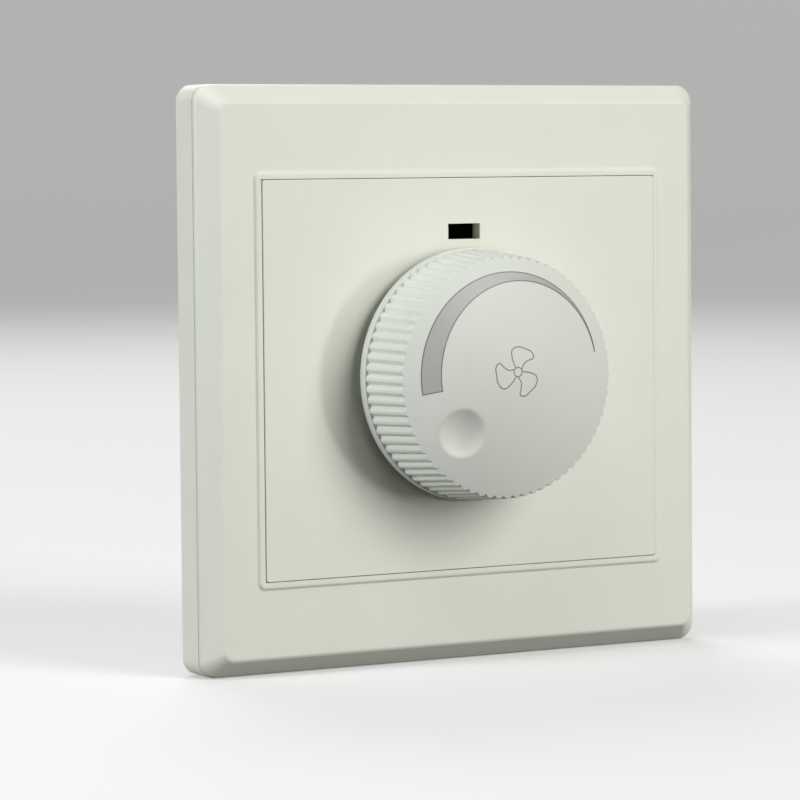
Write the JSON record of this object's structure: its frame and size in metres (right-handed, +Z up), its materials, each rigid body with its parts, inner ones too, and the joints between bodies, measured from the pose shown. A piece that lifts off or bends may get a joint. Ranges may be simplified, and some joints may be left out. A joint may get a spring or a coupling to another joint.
{
  "type": "fan speed control switch",
  "caption": "Square wall plate with a bevelled frame, flush centre panel and serrated domed knob that turns a potentiometer in a rear box to set a fan's speed.",
  "frame": {"origin": "centre of the plate on the wall, in the plane of the base plate's back face", "axes": "+X to the right and +Z up for a person who faces the plate, +Y into the wall"},
  "size_m": [0.086, 0.0503, 0.086],
  "materials": {
    "frame_plastic": "smooth satin-gloss moulded plastic, warm white",
    "panel_plastic": "smooth satin-gloss moulded plastic, warm white",
    "base_plastic": "smooth moulded plastic, warm white",
    "knob_plastic": "gloss moulded plastic, cool white",
    "housing_plastic": "fine matte moulded plastic, white",
    "steel": "zinc-plated",
    "spring_steel": "bright spring steel",
    "shaft_metal": "turned, fine rings",
    "rotor_plastic": "natural moulded plastic",
    "bronze": "stamped bronze",
    "phenolic": "brown phenolic sheet",
    "tinned_brass": "tinned",
    "tin_plate": "bright tin plate",
    "board_laminate": "paper laminate",
    "black_plastic": "moulded black epoxy",
    "sink_aluminium": "plain sheet",
    "ferrite": "sintered ferrite",
    "copper": "enamelled copper wire",
    "capacitor_case": "moulded case",
    "resistor_lacquer": "lacquered",
    "diac_glass": "coated glass",
    "terminal_plastic": "moulded black plastic",
    "clamp_brass": "turned brass",
    "lamp_lens": "clear red epoxy"
  },
  "bodies": {
    "plate": {"cover_frame": "frame_plastic", "centre_panel": "panel_plastic", "base_plate": "base_plastic", "rear_housing": "housing_plastic", "housing_screws": "steel", "pot_bushing": "shaft_metal", "pot_washer": "steel", "pot_nut": "steel", "pot_track": "phenolic", "pot_terminals": "tinned_brass", "pot_case": "tin_plate", "circuit_board": "board_laminate", "board_screws": "steel", "triac": "black_plastic", "triac_screw": "steel", "heat_sink": "sink_aluminium", "choke_core": "ferrite", "choke_winding": "copper", "film_capacitor": "capacitor_case", "resistors": "resistor_lacquer", "diac": "diac_glass", "terminal_block": "terminal_plastic", "terminal_clamps": "clamp_brass", "terminal_screws": "steel", "indicator_lamp": "lamp_lens"},
    "knob": {"knob": "knob_plastic", "hub_ring": "spring_steel", "pot_shaft": "shaft_metal", "shaft_clip": "spring_steel", "pot_rotor": "rotor_plastic", "wiper": "bronze"}
  },
  "joints": [
    {"name": "knob_turn", "type": "hinge", "parent": "plate", "child": "knob", "pos_m": [0, -0.0107, 0], "axis": [0, 1, 0], "range_deg": [0, 270]}
  ]
}
